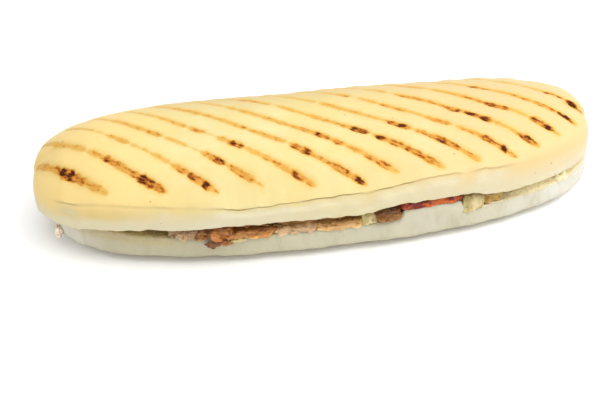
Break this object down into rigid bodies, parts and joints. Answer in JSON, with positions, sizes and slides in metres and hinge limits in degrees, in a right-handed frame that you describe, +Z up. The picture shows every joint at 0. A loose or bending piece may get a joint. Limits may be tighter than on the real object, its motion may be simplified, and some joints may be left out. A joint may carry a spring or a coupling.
{
  "type": "grilled panini sandwich",
  "caption": "Long flat grilled panini roll with a domed crust, diagonal grill marks and a filling of meat, pepper and cheese showing between its halves.",
  "frame": {"origin": "middle of the bounding box at the level of the flat underside", "axes": "+X along the roll toward its narrower end, -Y toward the side where the filling shows most, +Z up out of the crown"},
  "size_m": [0.27, 0.097, 0.0474],
  "materials": {
    "crust": "satin",
    "pale_crust": "matte, floury",
    "tan_meat": "moist satin",
    "brown_meat": "moist satin",
    "pink_meat": "moist satin",
    "dark_meat": "satin",
    "orange_sauce": "wet gloss",
    "red_pepper": "wet gloss",
    "cheese": "melted, semi-gloss",
    "cream": "soft matte"
  },
  "bodies": {
    "root": {"top_bread": "crust", "bottom_bread": "pale_crust", "meat_shred_1": "pink_meat", "meat_shred_2": "tan_meat", "meat_shred_3": "pink_meat", "meat_shred_4": "brown_meat", "sauced_piece": "orange_sauce", "meat_slice_left": "tan_meat", "meat_slice_middle": "pink_meat", "meat_slice_right": "tan_meat", "meat_slice_top": "brown_meat", "cream_piece": "cream", "meat_flap": "brown_meat", "red_pepper_piece": "red_pepper", "melted_cheese": "cheese", "ham_piece": "pink_meat", "dark_scrap": "dark_meat", "cheese_scrap": "cream", "sauce_scrap": "orange_sauce", "end_scrap": "pink_meat"}
  },
  "joints": []
}
